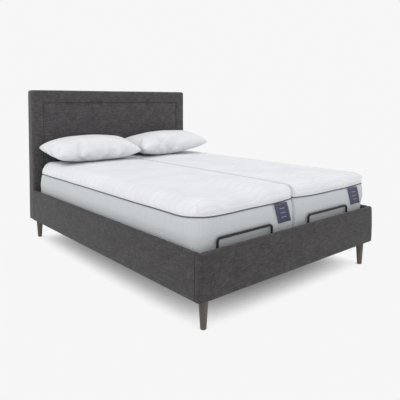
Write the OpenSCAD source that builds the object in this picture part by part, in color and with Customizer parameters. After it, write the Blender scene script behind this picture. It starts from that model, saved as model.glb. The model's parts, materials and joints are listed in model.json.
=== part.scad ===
// Two-mattress adjustable bed: an upholstered bedstead, two power bases side by side,
// two mattresses and two pillows. The foot faces -Y, the headboard +Y, the floor is z = 0.

/* [Bedstead] */
// Width over the side rails
bed_w = 1592; // [1580:1:1598]
// Length from the foot rail's face to the headboard's back
bed_l = 2195; // [2192:1:2200]
// Height of the rails' lower edge above the floor
rail_low = 161; // [156:1:164]
// Height of a rail
rail_h = 242; // [235:1:246]
// Thickness of an upholstered side rail
rail_t = 34; // [32:1:36]
// Thickness of the upholstered foot rail
foot_rail_t = 36; // [34:1:38]
// Width of the headboard
head_w = 1574; // [1570:1:1600]
// Thickness of the headboard
head_t = 89; // [86:1:92]
// Height of the headboard's top
head_top = 1223; // [1100:1:1400]
// Height of the headboard's lower edge
head_low = 155; // [150:1:160]
// Distance of the headboard's stitched border from its edge
border_inset = 97; // [60:1:140]

/* [Legs] */
// Radius of a leg at its top
leg_top_r = 26; // [22:1:28]
// Radius of a leg at the floor
leg_tip_r = 16; // [12:1:20]
// Distance of a leg's axis from the side rail's outer face
leg_inset = 75; // [70:1:80]

/* [Power base] */
// Width of one mattress
matt_w = 750; // [745:1:752]
// Height of the deck's top face
deck_top = 345; // [340:1:350]
// Thickness of a deck panel
deck_t = 14; // [12:1:14]
// Length of the foot section
foot_len = 600; // [590:1:605]
// Length of the thigh section
thigh_len = 330; // [325:1:340]
// Length of the fixed seat section
seat_len = 290; // [285:1:300]
// Furthest lift of the head section, degrees
head_max = 60; // [45:1:60]
// Furthest lift of the thigh section, degrees
thigh_max = 35; // [25:1:35]

/* [Mattress] */
// Length of the mattress
matt_l = 2000; // [1990:1:2003]
// Thickness of the mattress
matt_t = 300; // [200:1:310]

/* [Pillow] */
// Width of a pillow
pillow_w = 745; // [600:1:750]
// Depth of a pillow
pillow_d = 425; // [400:1:430]
// Thickness of a pillow
pillow_t = 208; // [120:1:215]
// Slope of a pillow, degrees
pillow_slope = 5; // [0:1:20]

/* [Hidden] */
$fn = 48;

fabric_grey = [0.28, 0.27, 0.28];
steel_dark = [0.16, 0.16, 0.17];
wood_brown = [0.37, 0.34, 0.29];
timber = [0.78, 0.66, 0.48];
ticking = [0.86, 0.87, 0.88];

rail_top = rail_low + rail_h;
y_foot = -bed_l / 2;                       // foot rail's outer face
y_inner = y_foot + foot_rail_t;            // foot rail's inner face
y_head = bed_l / 2 - head_t;               // headboard's front face
x_inner = bed_w / 2 - rail_t;              // side rail's inner face
matt_foot = y_foot + 72.5;                   // mattress foot face
matt_head = matt_foot + matt_l;
unit_x = matt_w / 2 + 2;                   // centre line of one power base
deck_w = matt_w - 10;

knee_y = matt_foot + foot_len;
thigh_y = knee_y + thigh_len;
hip_y = thigh_y + seat_len;
hinge_z = deck_top - 15;
tube = 25;                                 // square tube of the moving frames
tube_wall = 2;
frame_z = deck_top - deck_t - tube / 2;    // centre height of the moving frames' tubes
frame_x = 330;                             // side tubes either side of the unit's centre line
base_h = 40;
base_top = deck_top - deck_t - tube - 4;   // 4 mm under the moving frames
base_z = base_top - base_h / 2;
ledge_z = base_top - base_h;               // top face of the ledges and centre rail

pin_r = 5;
bore_r = 5.05;
lug_r = 9.5;
lug_x = 300;

// Head drive: the lever under the head frame, its pin and the actuator that pushes it
drive_x = 90;
lever_r = 100;
head_lever_back = 35;                      // lever's angle from straight down at rest
thigh_lever_back = 20;
head_pin_y = hip_y - lever_r * sin(head_lever_back);
head_pin_z = hinge_z - lever_r * cos(head_lever_back);
head_anchor_y = -250;
thigh_pin_y = thigh_y + lever_r * sin(thigh_lever_back);
thigh_pin_z = hinge_z - lever_r * cos(thigh_lever_back);
thigh_anchor_y = 330;
end_member_y = [-900, 860];                // base cross members clear of the drives
ear_gap = 24.6;
ear_t = 6;
slot_in = 84.5;                            // lever slot, inner and outer ends of its centre line
slot_out = 101.5;
slot_r = 7.3;
rod_r = 10;
eye_r = 12;                                // actuator's rear eye
eye_w = 30;

// Mattress cuts: lean of the faces beside each hinge, degrees from upright
hip_seat_lean = 20;
hip_head_lean = head_max - hip_seat_lean + 2;
thigh_seat_lean = 12;
thigh_lean = thigh_max - thigh_seat_lean + 2;
head_gap = 14.5;                           // deck panel edges from the hinge axis
deck_gap = 10;

bar_w = 430;
bar_shift = -45;
bar_top = 446;
bar_r = 7;

head_pad = 18;                             // padding before and behind the headboard's board
head_back = 8;
corner_l = 100;
leg_x = bed_w / 2 - leg_inset;
leg_foot_y = y_foot + 58;
leg_head_y = y_head + head_t / 2;         // under the headboard
bolt_z = [rail_low + 33, rail_low + 78];
bolt_r = 4;
bolt_hole_r = 4.1;
bolt_head_r = 6.5;
bolt_head_h = 5;
plate_t = 4;                               // sheet steel of brackets, ledges and end plates
feet_y = [-450, 450];

// ---------- shapes used more than once ----------

// Extrudes a (y, z) outline along X, centred
module along_x(len) {
    rotate([90, 0, 90]) linear_extrude(len, center = true) children();
}

// Extrudes an (x, z) outline along Y, from 0 towards +Y
module along_y(len) {
    translate([0, len, 0]) rotate([90, 0, 0]) linear_extrude(len) children();
}

// Rectangle from (0, 0) with its two upper corners rounded
module soft_top(w, h, r) {
    square([w, h - r]);
    translate([r, 0]) square([w - 2 * r, h]);
    for (x = [r, w - r]) translate([x, h - r]) circle(r);
}

// Rectangle from (0, 0) with all corners rounded
module soft_rect(w, h, r) {
    translate([r, 0]) square([w - 2 * r, h]);
    translate([0, r]) square([w, h - 2 * r]);
    for (x = [r, w - r]) for (y = [r, h - r]) translate([x, y]) circle(r);
}

module tube_x(len, w, h) {
    difference() {
        cube([len, w, h], center = true);
        cube([len + 1, w - 2 * tube_wall, h - 2 * tube_wall], center = true);
    }
}

module tube_y(len, w, h) {
    rotate(90) tube_x(len, w, h);
}

// Two side tubes from y0 to y1 with cross tubes between them, all under the deck
module ladder(y0, y1, cross) {
    for (s = [-1, 1]) {
        translate([s * frame_x, (y0 + y1) / 2, frame_z]) tube_y(y1 - y0, tube, tube);
    }
    for (y = cross) translate([0, y, frame_z]) tube_x(2 * frame_x - tube, tube, tube);
}

// Bored ear around the hinge axis, reaching back along Y to its tube
module lug(x, y, reach) {
    translate([x, y, hinge_z]) along_x(8) difference() {
        union() {
            circle(lug_r);
            translate([min(reach, 0), -lug_r]) square([abs(reach), lug_r + 1]);
        }
        circle(bore_r);
    }
}

module lug_pair(x, y, reach) {
    for (s = [-1, 1]) lug(s * x, y, reach);
}

// Headed pin along X
module pin(x, y, z, len) {
    translate([x, y, z]) rotate([0, 90, 0]) {
        cylinder(r = pin_r, h = len, center = true);
        for (s = [-1, 1]) translate([0, 0, s * (len / 2 - 1.5)]) {
            cylinder(r = 8, h = 3, center = true);
        }
    }
}

module hinge_pin_pair(y) {
    for (s = [-1, 1]) pin(s * (lug_x + 4.5), y, hinge_z, 23.6);
}

// Slotted lever ears hanging from a hinged frame; back is +1 when the lever leans to -Y
module lever(x, y, lean, back) {
    d = [-back * sin(lean), -cos(lean)];
    tip = (slot_in + slot_out) / 2 * d;
    for (s = [-1, 1]) {
        translate([x + s * (ear_gap + ear_t) / 2, y, hinge_z]) along_x(ear_t) difference() {
            union() {
                translate(tip) circle(22);
                polygon([
                    [back * 12, -24], [back * 37, -24],
                    tip + 21 * [back * cos(lean), -sin(lean)],
                    tip - 21 * [back * cos(lean), -sin(lean)]
                ]);
            }
            translate(slot_in * d) circle(slot_r);
            translate(slot_out * d) circle(slot_r);
            rotate(back * -lean) translate([-slot_r, -slot_out]) {
                square([2 * slot_r, slot_out - slot_in]);
            }
        }
    }
}

// Linear drive: eye at y = 0, motor block, then the outer tube up to reach, towards +Y
module actuator(reach) {
    motor_end = 145;
    collar = 16;
    difference() {
        union() {
            rotate([0, 90, 0]) cylinder(r = eye_r, h = eye_w, center = true);
            translate([-eye_w / 2, 0, -eye_r]) cube([eye_w, 32, 2 * eye_r]);
            translate([-35, 30, -70]) cube([70, motor_end - 30, 96]);
            translate([-24, 50, -78]) cube([48, 75, 10]);
            translate([0, motor_end - 1, 0]) rotate([-90, 0, 0]) {
                cylinder(r = 18, h = reach - motor_end + 1);
            }
            translate([0, reach - collar, 0]) rotate([-90, 0, 0]) cylinder(r = 21, h = collar);
        }
        rotate([0, 90, 0]) cylinder(r = bore_r, h = eye_w + 10, center = true);
        translate([0, motor_end + 5, 0]) rotate([-90, 0, 0]) cylinder(r = rod_r + 0.05, h = reach);
        translate([-36, 84, -46]) rotate([0, 90, 0]) cylinder(r = 6, h = 8);
    }
}

// Push rod whose end block carries a cross pin at y = 0; it reaches back len towards -Y
module push_rod(len) {
    translate([0, -len, 0]) rotate([-90, 0, 0]) cylinder(r = rod_r, h = len - 10);
    rotate([0, 90, 0]) cylinder(r = 14, h = 24, center = true);
    rotate([0, 90, 0]) cylinder(r = pin_r, h = 44, center = true);
}

// ---------- bedstead ----------

module headboard_board() {
    w = head_w - 40;
    h = head_top - 22 - head_low;
    color(timber) difference() {
        translate([-w / 2, y_head + head_pad, head_low]) cube([w, head_t - head_pad - head_back, h]);
        for (s = [-1, 1]) translate([s * w / 4 - w / 8 - 60, y_head + head_pad + 16, head_low + 280]) {
            cube([w / 4 + 120, head_t, h - 370]);
        }
        bolt_holes(0);
        head_studs(bolt_hole_r);
    }
}

module headboard_cover() {
    t = head_t;
    h = head_top - head_low;
    color(fabric_grey) difference() {
        intersection() {
            translate([-head_w / 2, y_head, head_low]) linear_extrude(h) soft_rect(head_w, t, 20);
            translate([0, y_head, head_low]) along_x(head_w) soft_top(t, h, 24);
            translate([-head_w / 2, y_head, head_low]) along_y(t) soft_top(head_w, h, 26);
        }
        translate([-head_w / 2 + 20, y_head + head_pad, head_low - 1]) {
            cube([head_w - 40, t - head_pad - head_back, h - 21]);
        }
        translate([0, y_head - 1, 0]) along_y(5) difference() {
            border(0);
            border(5);
        }
        bolt_holes(0);
    }
}

// Outline of the headboard's inset panel, shrunk by d
module border(d) {
    w = head_w - 2 * border_inset - 2 * d;
    z0 = rail_top - 60 + d;
    translate([-w / 2, z0]) square([w, head_top - border_inset - 10 - d - z0]);
}

module side_profile() {
    soft_top(rail_t, rail_h, 15);
}

// Upholstery of a side rail, wrapped over its board; side is -1 left or +1 right
module side_cover(side) {
    len = y_head - y_inner;
    color(fabric_grey) difference() {
        mirror([side > 0 ? 0 : 1, 0, 0]) translate([x_inner, y_inner, rail_low]) difference() {
            along_y(len) side_profile();
            translate([4, -1, -1]) cube([18, len + 2, rail_h - 11]);
        }
        bolt_holes(0);
    }
}

module foot_rail_cover() {
    color(fabric_grey) difference() {
        intersection() {
            translate([-bed_w / 2, y_foot, rail_low]) linear_extrude(rail_h) {
                translate([28, 0]) square([bed_w - 56, foot_rail_t]);
                translate([0, 28]) square([bed_w, foot_rail_t - 28]);
                for (x = [28, bed_w - 28]) translate([x, 28]) circle(28);
            }
            translate([0, y_foot, rail_low]) along_x(bed_w) soft_top(foot_rail_t, rail_h, 17);
            translate([-bed_w / 2, y_foot, rail_low]) along_y(foot_rail_t) soft_top(bed_w, rail_h, 15);
        }
        translate([-bed_w / 2 + 24, y_inner - 22, rail_low - 1]) cube([bed_w - 48, 18, rail_h - 15]);
        bolt_holes(0);
    }
}

module rail_boards() {
    color(timber) difference() {
        union() {
            for (s = [-1, 1]) {
                translate([s * (x_inner + 13) - 9, y_inner, rail_low]) {
                    cube([18, y_head - y_inner, rail_h - 12]);
                }
            }
            translate([-bed_w / 2 + 24, y_inner - 22, rail_low]) cube([bed_w - 48, 18, rail_h - 16]);
        }
        bolt_holes(0);
    }
}

// Tapered leg that is bolted from above or screwed onto a stud
module leg(x, y, top) {
    color(wood_brown) translate([x, y, 0]) difference() {
        rotate_extrude($fn = 64) polygon([
            [0, 0], [leg_tip_r - 4, 0], [leg_tip_r - 1.2, 1.2], [leg_tip_r, 4],
            [leg_top_r, top], [0, top]
        ]);
        translate([0, 0, top - 50]) cylinder(r = bolt_hole_r, h = 60);
    }
}

// Places its children at each corner in turn, mirrored so that they always see the +X side
module each_corner() {
    for (s = [0, 1]) mirror([s, 0, 0]) {
        translate([x_inner, y_inner, 0]) children();
        translate([x_inner, y_head, 0]) mirror([0, 1, 0]) children();
    }
}

// Angle plates in each corner with a foot plate over the leg
module corner_brackets() {
    color(steel_dark) difference() {
        each_corner() {
            translate([-plate_t, 0, rail_low]) cube([plate_t, corner_l, 100]);
            translate([-80, 0, rail_low]) cube([80, plate_t, 100]);
            translate([-80, 0, rail_low]) cube([80, corner_l, plate_t]);
        }
        bolt_holes(0);
        for (x = [-leg_x, leg_x]) translate([x, leg_foot_y, rail_low - 1]) {
            cylinder(r = bolt_hole_r, h = 10);
        }
    }
}

// Angle irons along the side rails that carry the power bases
module side_ledges() {
    len = y_head - y_inner - 2 * corner_l - 10;
    color(steel_dark) for (s = [0, 1]) mirror([s, 0, 0]) {
        translate([x_inner, y_inner + corner_l + 5, ledge_z]) {
            translate([-plate_t, 0, -40]) cube([plate_t, len, 40]);
            translate([-40, 0, -plate_t]) cube([40, len, plate_t]);
        }
    }
}

module centre_rail() {
    color(steel_dark) difference() {
        union() {
            translate([0, (y_inner + y_head) / 2, ledge_z - 20]) tube_y(y_head - y_inner - 8, 80, 40);
            for (y = [y_inner, y_head - plate_t]) translate([-65, y, ledge_z - 46]) {
                cube([130, plate_t, 46]);
            }
        }
        bolt_holes(0);
    }
}

module centre_feet() {
    color(steel_dark) for (y = feet_y) translate([0, y, 0]) {
        cylinder(r = 30, h = 12);
        cylinder(r = 19, h = ledge_z - 44);
        translate([-35, -35, ledge_z - 44]) cube([70, 70, 4]);
    }
}

// The bolts' shanks and heads when bolts is 1, or the holes they need when it is 0
module bolt_holes(bolts) {
    for (s = [0, 1]) mirror([s, 0, 0]) for (z = bolt_z) {
        for (y = [y_inner + 60, y_head - 60]) {
            translate([x_inner, y, z]) rotate([0, 90, 0]) shank(26, bolts);
        }
        translate([x_inner - 60, y_inner, z]) rotate([90, 0, 0]) shank(26, bolts);
        translate([x_inner - 60, y_head, z]) rotate([-90, 0, 0]) shank(50, bolts);
    }
    for (s = [-1, 1]) {
        translate([s * 53, y_inner, ledge_z - 20]) rotate([90, 0, 0]) shank(26, bolts);
        translate([s * 53, y_head, ledge_z - 20]) rotate([-90, 0, 0]) shank(50, bolts);
    }
}

// Bolt or hole along Z whose head side is the plate that stands plate_t below z = 0
module shank(len, bolts) {
    translate([0, 0, -plate_t]) {
        if (bolts > 0) {
            cylinder(r = bolt_r, h = len);
            translate([0, 0, -bolt_head_h]) cylinder(r = bolt_head_r, h = bolt_head_h);
        } else {
            translate([0, 0, -1]) cylinder(r = bolt_hole_r, h = len + 2);
        }
    }
}

// Studs that hold the head legs in the headboard's board
module head_studs(r) {
    for (x = [-leg_x, leg_x]) translate([x, leg_head_y, head_low - 45]) cylinder(r = r, h = 85);
}

module frame_bolts() {
    color("silver") {
        bolt_holes(1);
        head_studs(bolt_r);
        for (x = [-leg_x, leg_x]) translate([x, leg_foot_y, rail_low]) {
            translate([0, 0, -45]) cylinder(r = bolt_r, h = 50);
            translate([0, 0, plate_t]) cylinder(r = bolt_head_r, h = bolt_head_h);
        }
    }
}

module control_box() {
    color(steel_dark) difference() {
        translate([-65, -120, ledge_z - 92]) union() {
            translate([0, 0, 8]) cube([130, 240, 40]);
            translate([6, 6, 0]) cube([118, 228, 8]);
            translate([15, 10, 48]) cube([100, 220, 4]);
        }
        for (i = [0:3]) translate([-45 + 30 * i, -121, ledge_z - 60]) rotate([-90, 0, 0]) {
            cylinder(r = 6, h = 14);
        }
        translate([-12, 106, ledge_z - 66]) cube([24, 20, 12]);
    }
}

// ---------- one power base, drawn about its own centre line ----------

module base_frame() {
    members = [end_member_y[0], head_anchor_y, thigh_anchor_y, end_member_y[1]];
    color(steel_dark) {
        for (y = members) translate([0, y, base_z]) tube_x(deck_w, tube, base_h);
        for (i = [0:2]) for (s = [-1, 1]) {
            y0 = members[i] + tube / 2;
            y1 = members[i + 1] - tube / 2;
            translate([s * frame_x, (y0 + y1) / 2, base_z]) tube_y(y1 - y0, tube, base_h);
        }
        for (y = [hip_y - 24.5, thigh_y + 24.5]) {
            translate([0, y, base_top + (tube + 4) / 2]) tube_x(deck_w, tube, tube + 4);
        }
        lug_pair(lug_x, hip_y, -14);
        lug_pair(lug_x, thigh_y, 14);
        clevis(drive_x, head_anchor_y, head_pin_z);
        clevis(-drive_x, thigh_anchor_y, thigh_pin_z);
    }
}

// Two ears under a base cross member for an actuator's eye
module clevis(x, y, z) {
    for (s = [-1, 1]) translate([x + s * 18.3, y, 0]) along_x(ear_t) difference() {
        union() {
            translate([-12, z]) square([24, ledge_z - z + 1]);
            translate([0, z]) circle(12);
        }
        translate([0, z]) circle(bore_r);
    }
}

module hinge_pins() {
    color("silver") {
        hinge_pin_pair(hip_y);
        hinge_pin_pair(thigh_y);
        pin(drive_x, head_anchor_y, head_pin_z, 49);
        pin(-drive_x, thigh_anchor_y, thigh_pin_z, 49);
    }
}

module knee_pins() {
    color("silver") hinge_pin_pair(knee_y);
}

module head_frame() {
    y0 = hip_y + 12;
    y1 = matt_head - 10;
    color(steel_dark) {
        ladder(y0, y1, [y0 + 12.5, (y0 + y1) / 2, y1 - 12.5]);
        lug_pair(lug_x + 9, hip_y, 14);
        lever(drive_x, hip_y, head_lever_back, 1);
    }
}

module thigh_frame() {
    y0 = knee_y + 18;
    y1 = thigh_y - 12;
    color(steel_dark) {
        ladder(y0, y1, [y0 + 12.5, y1 - 12.5]);
        lug_pair(lug_x, knee_y, 20);
        lug_pair(lug_x + 9, thigh_y, -14);
        lever(-drive_x, thigh_y, thigh_lever_back, -1);
    }
}

module foot_frame() {
    y0 = matt_foot + 10;
    y1 = knee_y - 18;
    color(steel_dark) {
        ladder(y0, y1, [y0 + 12.5, (y0 + y1) / 2, y1 - 12.5]);
        lug_pair(lug_x + 9, knee_y, -20);
    }
}

module deck(y0, y1) {
    color([0.2, 0.2, 0.21]) translate([-deck_w / 2, y0, deck_top - deck_t]) {
        cube([deck_w, y1 - y0, deck_t]);
    }
}

// Round steel bar that keeps the mattress from sliding off the foot section
module retainer_bar() {
    bend = 18;
    turn = 16;
    z0 = frame_z;
    y0 = matt_foot + 10;
    y1 = matt_foot - 19;
    color(steel_dark) translate([bar_shift, 0, 0]) {
        for (s = [-1, 1]) {
            x = s * (bar_w / 2 - bar_r);
            translate([x, y0, z0]) rotate([90, 0, 0]) cylinder(r = bar_r, h = y0 - y1 - turn);
            translate([x, y1 + turn, z0 + turn]) rotate([90, 0, -90]) rotate(-90) {
                rotate_extrude(angle = 90) translate([turn, 0]) circle(bar_r);
            }
            translate([x, y1, z0 + turn]) cylinder(r = bar_r, h = bar_top - bar_r - bend - z0 - turn);
            mirror([s > 0 ? 0 : 1, 0, 0]) {
                translate([bar_w / 2 - bar_r - bend, y1, bar_top - bar_r - bend]) rotate([90, 0, 0]) {
                    rotate_extrude(angle = 90) translate([bend, 0]) circle(bar_r);
                }
            }
        }
        translate([0, y1, bar_top - bar_r]) rotate([0, 90, 0]) {
            cylinder(r = bar_r, h = bar_w - 2 * (bar_r + bend), center = true);
        }
    }
}

module head_actuator() {
    color(steel_dark) translate([drive_x, head_anchor_y, head_pin_z]) {
        actuator(head_pin_y - head_anchor_y - 26);
    }
}

module head_rod() {
    color("silver") translate([drive_x, head_pin_y, head_pin_z]) push_rod(200);
}

module thigh_actuator() {
    color(steel_dark) translate([-drive_x, thigh_anchor_y, thigh_pin_z]) mirror([0, 1, 0]) {
        actuator(thigh_anchor_y - thigh_pin_y - 26);
    }
}

module thigh_rod() {
    color("silver") translate([-drive_x, thigh_pin_y, thigh_pin_z]) mirror([0, 1, 0]) push_rod(200);
}

// ---------- mattress, cut where it bends ----------

// y of a leaning face at height z; lean is positive towards +Y
function face_y(hinge, lean, z) = hinge + (z - hinge_z) * tan(lean);

// Whole mattress with rounded edges, upright and in plan
module mattress_body() {
    intersection() {
        translate([-matt_w / 2, matt_foot, deck_top]) along_y(matt_l) soft_rect(matt_w, matt_t, 26);
        translate([0, matt_foot, deck_top]) along_x(matt_w) soft_rect(matt_l, matt_t, 26);
        translate([-matt_w / 2, matt_foot, deck_top]) linear_extrude(matt_t) {
            soft_rect(matt_w, matt_l, 45);
        }
    }
}

// Part of the mattress between two leaning faces; each face is [hinge y, lean, gap]
module mattress_part(low, high, lift = 0) {
    z0 = deck_top + lift;
    z1 = deck_top + matt_t;
    color(ticking) intersection() {
        mattress_body();
        along_x(matt_w + 2) polygon([
            [face_y(low[0], low[1], z0) + low[2], z0],
            [face_y(high[0], high[1], z0) - high[2], z0],
            [face_y(high[0], high[1], z1 + 1) - high[2], z1 + 1],
            [face_y(low[0], low[1], z1 + 1) + low[2], z1 + 1]
        ]);
    }
}

module mattress_head() {
    mattress_part([hip_y, hip_head_lean, 0], [matt_head + 1, 0, 0]);
}

module mattress_seat() {
    mattress_part([thigh_y, thigh_seat_lean, 0], [hip_y, -hip_seat_lean, 0]);
}

module mattress_thigh() {
    mattress_part([knee_y, 0, 0.2], [thigh_y, -thigh_lean, 0]);
}

module mattress_foot() {
    mattress_part([matt_foot - 1, 0, 0], [knee_y, 0, 0.2]);
}

module hip_gusset() {
    mattress_part([hip_y, -hip_seat_lean, 0.4], [hip_y, hip_head_lean, 0.4], 0.5);
}

module thigh_gusset() {
    mattress_part([thigh_y, -thigh_lean, 0.4], [thigh_y, thigh_seat_lean, 0.4], 0.5);
}

// Plump pillow with four drawn-out corners, leaning back on the mattress
module pillow() {
    half = pillow_t / 2;
    lift = sqrt(pow(half * cos(pillow_slope), 2) + pow(0.4 * pillow_d * sin(pillow_slope), 2));
    color("white") {
        translate([0, matt_head - 190, deck_top + matt_t + lift + 2]) rotate([pillow_slope, 0, 0]) hull() {
            scale([0.41 * pillow_w, 0.4 * pillow_d, half]) sphere(1, $fn = 32);
            for (x = [-1, 1]) for (y = [-1, 1]) {
                translate([x * (pillow_w / 2 - 12), y * (pillow_d / 2 - 12), 0]) sphere(12, $fn = 16);
            }
        }
    }
}

module on_left() {
    translate([-unit_x, 0, 0]) children();
}

module on_right() {
    translate([unit_x, 0, 0]) children();
}

headboard_board();
headboard_cover();
rail_boards();
side_cover(-1);  // left_rail_cover
side_cover(1);  // right_rail_cover
foot_rail_cover();
leg(-leg_x, leg_foot_y, rail_low);  // foot_left_leg
leg(leg_x, leg_foot_y, rail_low);  // foot_right_leg
leg(-leg_x, leg_head_y, head_low);  // head_left_leg
leg(leg_x, leg_head_y, head_low);  // head_right_leg
corner_brackets();
side_ledges();
centre_rail();
centre_feet();
frame_bolts();
control_box();
on_left() base_frame();  // left_base_frame
on_left() deck(thigh_y + deck_gap, hip_y - deck_gap);  // left_seat_deck
on_left() hinge_pins();  // left_hinge_pins
on_left() head_frame();  // left_head_frame
on_left() deck(hip_y + head_gap, matt_head);  // left_head_deck
on_left() thigh_frame();  // left_thigh_frame
on_left() deck(knee_y + deck_gap, thigh_y - deck_gap);  // left_thigh_deck
on_left() knee_pins();  // left_knee_pins
on_left() foot_frame();  // left_foot_frame
on_left() deck(matt_foot, knee_y - deck_gap);  // left_foot_deck
on_left() retainer_bar();  // left_retainer_bar
on_left() head_actuator();  // left_head_actuator
on_left() head_rod();  // left_head_rod
on_left() thigh_actuator();  // left_thigh_actuator
on_left() thigh_rod();  // left_thigh_rod
on_left() mattress_head();  // left_mattress_head
on_left() mattress_seat();  // left_mattress_seat
on_left() mattress_thigh();  // left_mattress_thigh
on_left() mattress_foot();  // left_mattress_foot
on_left() hip_gusset();  // left_hip_gusset
on_left() thigh_gusset();  // left_thigh_gusset
on_left() pillow();  // left_pillow
on_right() base_frame();  // right_base_frame
on_right() deck(thigh_y + deck_gap, hip_y - deck_gap);  // right_seat_deck
on_right() hinge_pins();  // right_hinge_pins
on_right() head_frame();  // right_head_frame
on_right() deck(hip_y + head_gap, matt_head);  // right_head_deck
on_right() thigh_frame();  // right_thigh_frame
on_right() deck(knee_y + deck_gap, thigh_y - deck_gap);  // right_thigh_deck
on_right() knee_pins();  // right_knee_pins
on_right() foot_frame();  // right_foot_frame
on_right() deck(matt_foot, knee_y - deck_gap);  // right_foot_deck
on_right() retainer_bar();  // right_retainer_bar
on_right() head_actuator();  // right_head_actuator
on_right() head_rod();  // right_head_rod
on_right() thigh_actuator();  // right_thigh_actuator
on_right() thigh_rod();  // right_thigh_rod
on_right() mattress_head();  // right_mattress_head
on_right() mattress_seat();  // right_mattress_seat
on_right() mattress_thigh();  // right_mattress_thigh
on_right() mattress_foot();  // right_mattress_foot
on_right() hip_gusset();  // right_hip_gusset
on_right() thigh_gusset();  // right_thigh_gusset
on_right() pillow();  // right_pillow
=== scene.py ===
import json
import math

import bmesh
import bpy
import numpy as np
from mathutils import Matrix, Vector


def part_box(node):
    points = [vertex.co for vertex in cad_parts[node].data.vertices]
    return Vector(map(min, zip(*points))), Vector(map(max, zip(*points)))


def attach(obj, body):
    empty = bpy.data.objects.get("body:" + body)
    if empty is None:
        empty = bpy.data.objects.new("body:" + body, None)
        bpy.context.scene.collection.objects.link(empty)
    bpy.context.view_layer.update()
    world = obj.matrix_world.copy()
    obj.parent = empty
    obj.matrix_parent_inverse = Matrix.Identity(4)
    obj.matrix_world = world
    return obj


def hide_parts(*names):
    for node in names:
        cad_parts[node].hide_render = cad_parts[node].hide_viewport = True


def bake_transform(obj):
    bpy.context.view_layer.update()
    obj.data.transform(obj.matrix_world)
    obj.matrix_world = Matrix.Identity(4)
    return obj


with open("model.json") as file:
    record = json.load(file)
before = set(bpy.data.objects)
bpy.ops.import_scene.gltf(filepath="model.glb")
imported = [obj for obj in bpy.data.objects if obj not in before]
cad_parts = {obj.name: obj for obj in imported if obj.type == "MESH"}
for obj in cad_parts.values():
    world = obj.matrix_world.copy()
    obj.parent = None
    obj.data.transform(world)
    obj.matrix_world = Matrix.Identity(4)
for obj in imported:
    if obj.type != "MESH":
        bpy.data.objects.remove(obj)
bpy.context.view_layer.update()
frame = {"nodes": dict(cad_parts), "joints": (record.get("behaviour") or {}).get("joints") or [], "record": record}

# Upholstered adjustable bed with two mattresses, dressed around its CAD frame.
# Metres, +Z up, foot of the bed at -Y, headboard at +Y.

NODES = frame["nodes"]
JOINTS = {j["name"]: j for j in frame["joints"]}
SIDES = {"left": -1, "right": 1}
TAU = 2 * math.pi

# ---------------------------------------------------------------- camera

CAMERA_AT = (-2.216, -2.765, 1.140)
CAMERA_TURN = -40.49      # degrees about +Z, from looking along +Y
CAMERA_DIP = 2.57         # degrees below the horizon
CAMERA_LENS = 42.07       # millimetres on a 36 mm sensor
CAMERA_SHIFT_Y = -0.197   # shares of the frame's width

camera_data = bpy.data.cameras.new("camera")
camera = bpy.data.objects.new("camera", camera_data)
bpy.context.scene.collection.objects.link(camera)
camera.location = CAMERA_AT
camera.rotation_euler = (math.radians(90 - CAMERA_DIP), 0, math.radians(CAMERA_TURN))
camera_data.lens = CAMERA_LENS
camera_data.sensor_width = 36
camera_data.shift_y = CAMERA_SHIFT_Y
bpy.context.scene.camera = camera

# ---------------------------------------------------------------- shader helpers

MIX_SHARE, MIX_A, MIX_B = 0, 6, 7      # input sockets of a colour mix
MIX_COLOR = 2                          # and its output


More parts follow.
